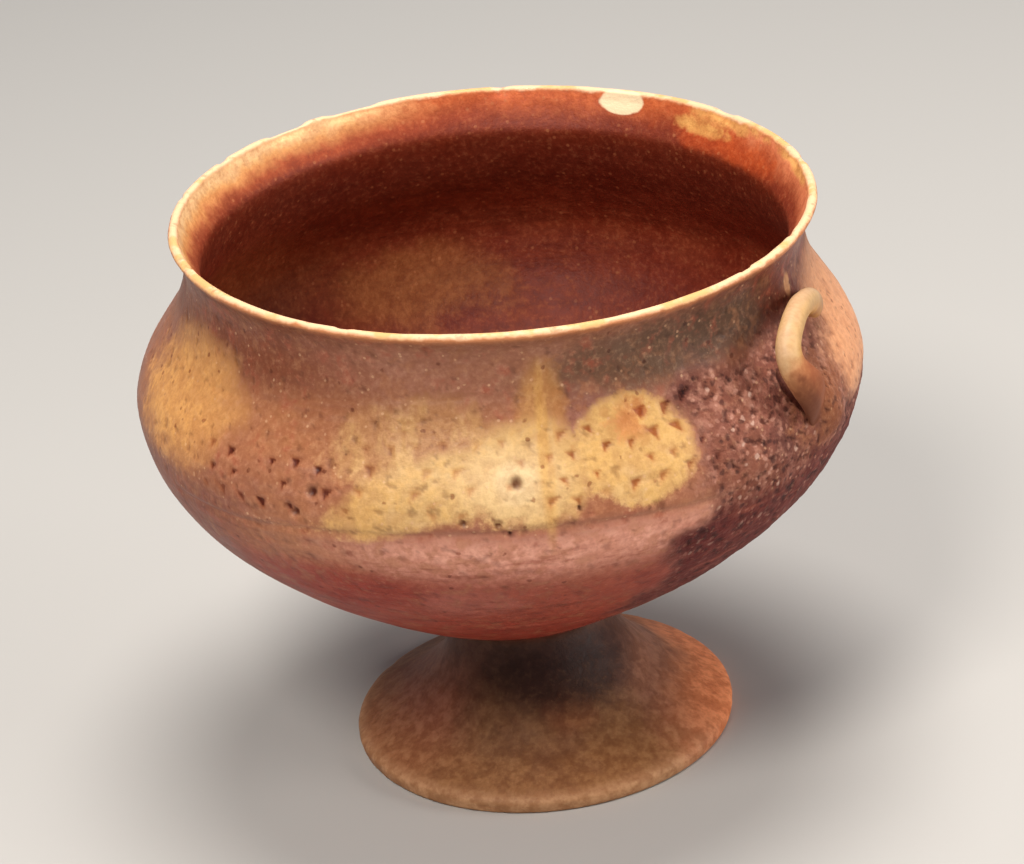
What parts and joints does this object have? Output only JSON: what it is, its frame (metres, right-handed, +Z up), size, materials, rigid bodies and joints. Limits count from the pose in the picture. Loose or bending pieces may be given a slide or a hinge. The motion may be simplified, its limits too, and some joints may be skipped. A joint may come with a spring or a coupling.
{
  "type": "footed cup",
  "caption": "Footed pottery drinking cup: hollow round bowl with a flared lip, small loop handles on its shoulder and a low trumpet foot.",
  "frame": {"origin": "on the table under the middle of the bowl's widest ring, at the height of the flat ring that the foot stands on", "axes": "+Z is up, -Y points to the decorated front that the picture shows, and +X is to the viewer's right, where the visible handle sits"},
  "size_m": [0.2052, 0.2052, 0.1679],
  "materials": {
    "clay": "matt burnished, worn"
  },
  "bodies": {
    "root": {"cup": "clay"}
  },
  "joints": []
}
